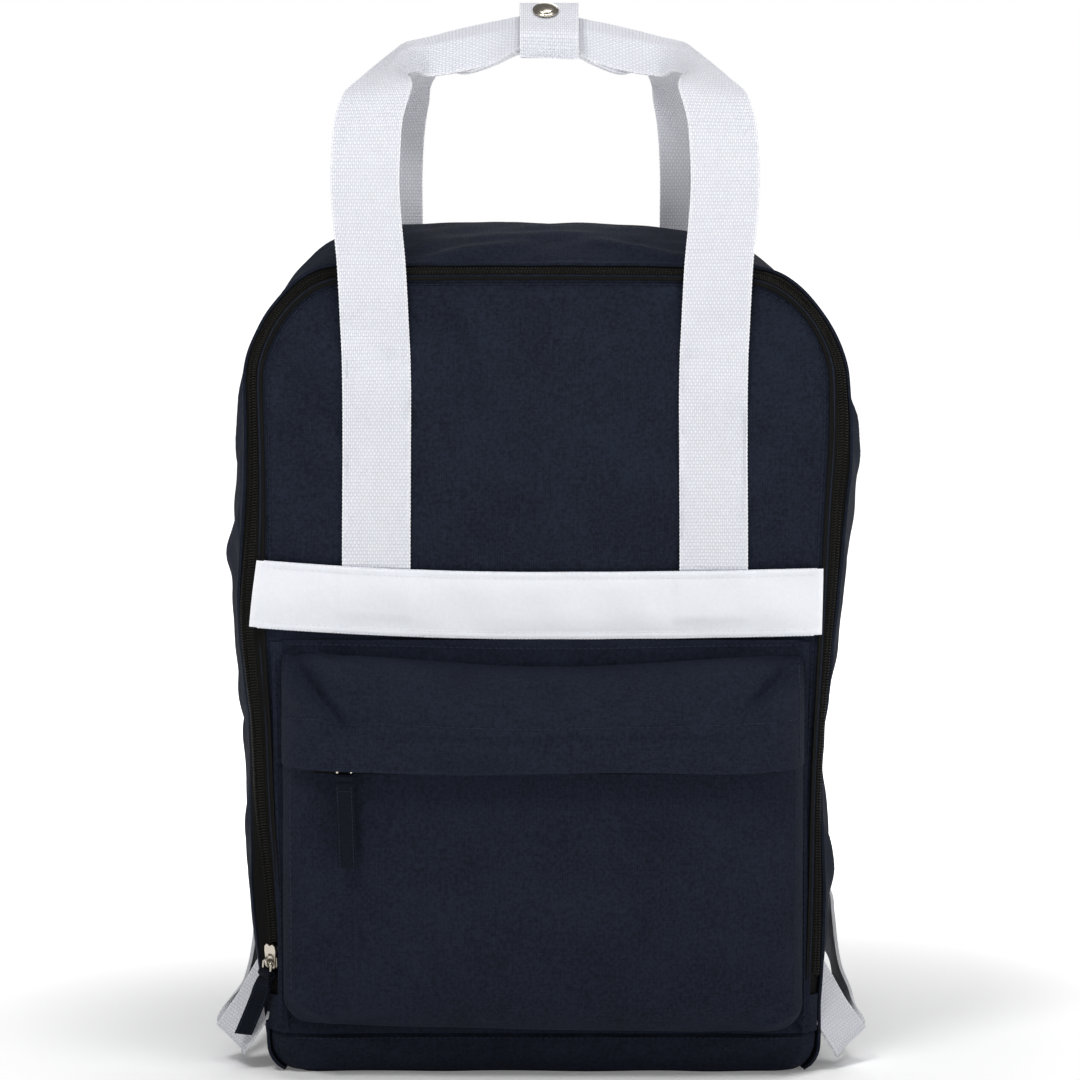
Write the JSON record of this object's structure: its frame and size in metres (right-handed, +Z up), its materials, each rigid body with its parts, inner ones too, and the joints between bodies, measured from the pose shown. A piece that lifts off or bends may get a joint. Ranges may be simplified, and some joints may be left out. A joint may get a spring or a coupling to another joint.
{
  "type": "school backpack",
  "caption": "Upright school backpack with a zipped fold-down front panel, covered front pocket, two webbing carrying handles joined by a snap keeper, and padded shoulder straps.",
  "frame": {"origin": "middle of the base, on the ground", "axes": "+Z up, -Y out of the front panel, +X to the right seen from the front"},
  "size_m": [0.3042, 0.1869, 0.5013],
  "materials": {
    "navy_cloth": "tightly woven matt polyester, navy",
    "navy_lining": "thin smooth lining",
    "white_webbing": "basket-weave webbing, white",
    "white_band": "smooth fine-woven band, white",
    "zip_tape": "ribbed zip tape, black",
    "zip_coil": "nylon coil, black",
    "nickel": "polished nickel plate",
    "black_plastic": "moulded acetal, fine texture",
    "foam": "closed-cell foam sheet",
    "board": "stiff plastic base sheet"
  },
  "bodies": {
    "bag": {"back_panel": "navy_cloth", "back_foam": "foam", "back_lining": "navy_lining", "gusset": "navy_cloth", "base_panel": "navy_cloth", "base_board": "board", "front_foot": "navy_cloth", "laptop_sleeve": "navy_lining", "sleeve_binding": "zip_tape", "zip_tape_gusset": "zip_tape", "zip_coil_gusset": "zip_coil", "zip_end_stops": "navy_cloth", "strap_yoke": "navy_cloth", "back_handle_base": "white_webbing", "lower_strap_left": "white_webbing", "lower_strap_right": "white_webbing"},
    "front": {"front_panel": "navy_cloth", "front_lining": "navy_lining", "front_band": "white_band", "front_handle_base": "white_webbing", "pocket_shell": "navy_cloth", "pocket_cover": "navy_cloth", "pocket_zip_tape_lower": "zip_tape", "pocket_zip_tape_upper": "zip_tape", "pocket_zip_coil_lower": "zip_coil", "pocket_zip_coil_upper": "zip_coil", "zip_tape_front": "zip_tape", "zip_coil_front": "zip_coil"},
    "front_grip": {"front_handle": "white_webbing"},
    "back_grip": {"back_handle": "white_webbing", "keeper_loop": "white_webbing", "snap_stud": "nickel"},
    "keeper": {"keeper_flap": "white_webbing", "snap_cap": "nickel"},
    "zip_slider": {"main_slider": "nickel"},
    "zip_pull": {"main_bail": "nickel", "main_pull_tape": "navy_cloth"},
    "pocket_zip_slider": {"pocket_slider": "nickel", "pocket_bail": "nickel"},
    "pocket_zip_pull": {"pocket_pull_tape": "navy_cloth"},
    "left_strap": {"shoulder_pad_left": "navy_cloth", "adjuster_loop_left": "white_webbing", "adjuster_left": "black_plastic"},
    "right_strap": {"shoulder_pad_right": "navy_cloth", "adjuster_loop_right": "white_webbing", "adjuster_right": "black_plastic"}
  },
  "joints": [
    {"name": "front_panel_open", "type": "hinge", "parent": "bag", "child": "front", "pos_m": [0, -0.066, 0.021], "axis": [1, 0, 0], "range_deg": [0, 50]},
    {"name": "main_zip_slide", "type": "slide", "parent": "bag", "child": "zip_slider", "axis": [-0.0331, 0, 0.9995], "range_m": [0, 0.27]},
    {"name": "main_pull_swing", "type": "hinge", "parent": "zip_slider", "child": "zip_pull", "pos_m": [-0.13107, -0.06262, 0.0537], "axis": [-0.5817, 0.7912, 0.1888], "range_deg": [0, 150]},
    {"name": "pocket_zip_slide", "type": "slide", "parent": "front", "child": "pocket_zip_slider", "axis": [1, 0, 0], "range_m": [0, 0.185]},
    {"name": "pocket_pull_swing", "type": "hinge", "parent": "pocket_zip_slider", "child": "pocket_zip_pull", "pos_m": [-0.09334, -0.0985, 0.146], "axis": [-1, 0, 0], "range_deg": [0, 90]},
    {"name": "front_handle_fold", "type": "hinge", "parent": "front", "child": "front_grip", "pos_m": [0, -0.0702, 0.3445], "axis": [1, 0, 0], "range_deg": [0, 150]},
    {"name": "back_handle_fold", "type": "hinge", "parent": "bag", "child": "back_grip", "pos_m": [0, 0.0702, 0.3445], "axis": [-1, 0, 0], "range_deg": [0, 110]},
    {"name": "keeper_open", "type": "hinge", "parent": "back_grip", "child": "keeper", "pos_m": [0.004, 0.01686, 0.49819], "axis": [-1, 0, 0], "range_deg": [0, 150]},
    {"name": "left_strap_swing", "type": "hinge", "parent": "bag", "child": "left_strap", "pos_m": [-0.032, 0.0715, 0.372], "axis": [1, 0, 0], "range_deg": [0, 20]},
    {"name": "right_strap_swing", "type": "hinge", "parent": "bag", "child": "right_strap", "pos_m": [0.032, 0.0715, 0.372], "axis": [1, 0, 0], "range_deg": [0, 20]}
  ]
}
